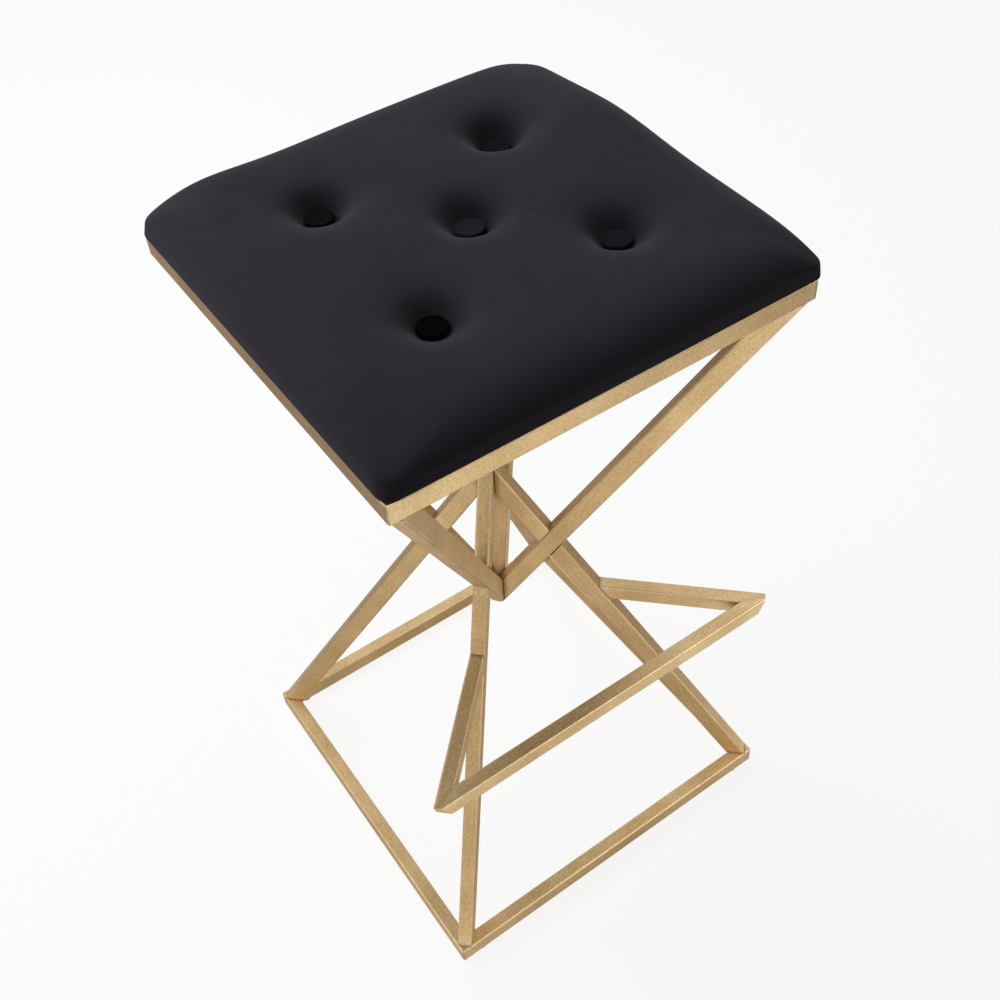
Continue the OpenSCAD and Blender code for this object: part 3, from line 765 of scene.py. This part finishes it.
def velvet(name, sheen=0.07, gloss=0.12, light=1.0, hollows=()):
    """Colour = dark to pale by the nap's tone, times a painted light, then darker near a hollow by
    the share of the way to its button's rim: painted shade."""
    m = Material(name, Metallic=0.0, Roughness=0.85, Sheen_Weight=sheen, Sheen_Roughness=0.55,
                 Sheen_Tint=(0.88, 0.84, 0.94, 1.0), Specular_IOR_Level=gloss)
    pile = m.noise(2400.0, 2.0, 0.6)
    nap = m.noise(38.0, 3.0, 0.55)
    drift = m.noise(9.0, 2.0, 0.5)
    tone = (0.15 + nap * 0.45 + drift * 0.45 + pile * 0.25 - 0.2).clamp()
    dark, pale = (tuple(c * light for c in rgb(*shade)[:3]) + (1.0,)
                  for shade in (PILE_DARK, PILE_PALE))
    colour = m.mix(tone, dark, pale)
    for bx, by in hollows:
        away = m.measure("DISTANCE", m.place(), (bx, by, RAIL_TOP + BUTTON_SEAT))
        # Painted shade in the hollow round each button.
        hollow_shade = (1.0 - (away - BUTTON_R) / HOLLOW_SHADE_REACH).clamp()
        colour = m.mix(hollow_shade * 0.8, colour, HOLLOW_SHADE_COLOUR)
    return m.feed(Base_Color=colour, Roughness=0.78 + pile * 0.16,
                  Normal=m.bump(pile * 0.7 + nap * 0.5, 0.25, 0.6 * MM))


cushion.data.materials.append(velvet("velvet_pile", hollows=BUTTONS.values()))
print("Nodes in the velvet:", len(bpy.data.materials["velvet_pile"].node_tree.nodes))

# %% [markdown]
# ## Covered buttons
# Each button is a shallow metal shell covered in the same velvet, so its rim is round and the cloth
# is gathered under it. A profile is turned round the button's axis, and small pleats are added
# towards the rim. Each button gets its own painted light: its velvet's colour is scaled by its
# own share.

# %% Buttons
PROFILE = np.array([(0.4, 5.05), (4.0, 5.05), (8.0, 5.08), (9.6, 5.2), (10.6, 5.42),
                    (11.4, 5.45), (12.1, 5.1), (12.7, 4.3), (13.0, 3.2), (12.9, 2.0),
                    (12.3, 0.9), (11.0, 0.2), (6.0, 0.1), (0.5, 0.1)]) * MM
PLEATS, PLEAT_DEPTH = 18, 0.006
# Each button's painted light: the share of the velvet's colour that it shows.
PAINTED_BUTTON_LIGHT = {"button_centre": 0.8, "button_front_left": 0.03, "button_front_right": 0.55,
       "button_back_right": 0.4, "button_back_left": 0.2}


def button_rings(around=72):
    """A profile turned round the axis: flat on top with a raised round rim, then in underneath.
    The radius times 1 plus the depth times the cosine of the pleats' angle gives the pleats."""
    angle = np.linspace(0, 2 * np.pi, around, endpoint=False)
    to_rim = np.clip((PROFILE[:, :1] - 9 * MM) / (3 * MM), 0, 1)
    r = PROFILE[:, :1] * (1 + PLEAT_DEPTH * np.cos(PLEATS * angle)[None, :] * to_rim)
    return np.stack([r * np.cos(angle), r * np.sin(angle),
                     np.broadcast_to(PROFILE[:, 1:], r.shape)], -1)


def smoothed(piece):
    """Subdivides a piece once, alike in the view and in the render."""
    smooth = piece.modifiers.new("smooth", "SUBSURF")
    smooth.levels = smooth.render_levels = 1


for node, (bx, by) in BUTTONS.items():
    rings = button_rings() + np.array([bx, by, RAIL_TOP + BUTTON_SEAT])
    button = mesh_of_rings("covered_" + node, rings)
    # Painted light: each button's velvet is scaled to its own brightness.
    button.data.materials.append(velvet("velvet_" + node, sheen=0.0, gloss=0.03, light=PAINTED_BUTTON_LIGHT[node]))
    smoothed(button)
    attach(button, "root")
    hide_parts(node)

smoothed(cushion)
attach(cushion, "root")
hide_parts("velvet_cover", "foam_pad")
print("Soft pieces:", 1 + len(BUTTONS))

# %% [markdown]
# ## What is under the seat
# The board, its fixings, the dust cover and the floor glides are carried over from the CAD frame.
# Each has its own finish: birch plywood with its grain, zinc-plated steel, non-woven cloth, and
# moulded plastic. All are one colour wandering to another by a noise or two, with a little bump.


# %% Plywood and steel
def plywood():
    m = Material("birch_plywood", Roughness=0.6)
    grain = m.noise(1.0, 4.0, 0.6, m.mapping(m.place(), Scale=(14.0, 260.0, 500.0)))
    figure = m.noise(1.0, 3.0, 0.5, m.mapping(m.place(), Scale=(4.0, 30.0, 60.0)))
    colour = m.mix((grain * 0.6 + figure * 0.5).clamp(), rgb(190, 152, 104), rgb(226, 196, 150))
    return m.feed(Base_Color=colour, Roughness=0.5 + grain * 0.2,
                  Normal=m.bump(grain, 0.3, 0.2 * MM))


def zinc():
    m = Material("zinc_plate", Metallic=1.0, Roughness=0.35)
    crystal = m.noise(900.0, 3.0, 0.6)
    cloud = m.noise(120.0, 2.0, 0.5)
    colour = m.mix((crystal * 0.5 + cloud * 0.5).clamp(), rgb(168, 170, 172), rgb(214, 215, 216))
    return m.feed(Base_Color=colour, Roughness=0.25 + crystal * 0.25,
                  Normal=m.bump(crystal, 0.2, 0.05 * MM))


def brass_plate():
    m = Material("brass_corner_plates", Metallic=1.0, Roughness=0.4)
    brushed = m.mapping(m.place(), Rotation=(0.0, 0.0, math.pi / 4), Scale=(60.0, 1500.0, 1500.0))
    grain = m.noise(1.0, 3.0, 0.6, brushed)
    mottle = m.noise(200.0, 3.0, 0.6)
    colour = m.mix((grain * 0.6 + mottle * 0.4).clamp(), BRASS_DEEP, BRASS)
    return m.feed(Base_Color=colour, Roughness=0.34 + grain * 0.16,
                  Normal=m.bump(grain + mottle, 0.3, 0.1 * MM))


# %% Cloth, twine and plastic
def dust_cloth():
    m = Material("dust_cloth", Roughness=0.9, Sheen_Weight=0.15)
    fibres = m.noise(1500.0, 4.0, 0.7)
    blotch = m.noise(220.0, 2.0, 0.5)
    colour = m.mix((fibres * 0.6 + blotch * 0.4).clamp(), rgb(24, 24, 25), rgb(58, 58, 60))
    return m.feed(Base_Color=colour, Roughness=0.8 + fibres * 0.15,
                  Normal=m.bump(fibres, 0.5, 0.2 * MM))


def twine():
    m = Material("waxed_twine", Roughness=0.6)
    lay = m.node("ShaderNodeTexWave", {"wave_type": "BANDS", "bands_direction": "DIAGONAL"},
                 {"Vector": m.place(), "Scale": 420.0, "Distortion": 0.6}, 1)
    colour = m.mix(lay, rgb(176, 160, 130), rgb(228, 216, 190))
    return m.feed(Base_Color=colour, Roughness=0.5 + lay * 0.2, Normal=m.bump(lay, 0.4, 0.2 * MM))


def glide_plastic():
    m = Material("glide_plastic", Roughness=0.5)
    speckle = m.noise(1800.0, 3.0, 0.6)
    scuff = m.noise(1.0, 2.0, 0.5, m.mapping(m.place(), Scale=(300.0, 40.0, 40.0)))
    colour = m.mix((speckle * 0.5 + scuff * 0.4).clamp(), rgb(48, 42, 36), rgb(84, 76, 66))
    return m.feed(Base_Color=colour, Roughness=0.4 + speckle * 0.2,
                  Normal=m.bump(speckle, 0.3, 0.08 * MM))


# %% Dress the pieces under the seat
zinc_finish, plate_finish = zinc(), brass_plate()
for node in ("seat_screws", "seat_washers", "tee_nuts", "twine_anchors", "dust_cover_staples"):
    dress(node, zinc_finish)
for corner in CORNERS:
    dress("corner_plate_" + corner, plate_finish)
dress("seat_board", plywood())
dress("tufting_twine", twine())
dress("dust_cover", dust_cloth())
dress("floor_glides", glide_plastic())
print("Materials:", len(bpy.data.materials))

# %% [markdown]
# ## Finish
# The dressed stool has to stay in the CAD box, but for what the fabric may stand proud. The
# last call brings the view layer up to date.

# %% Finish
bpy.context.view_layer.update()
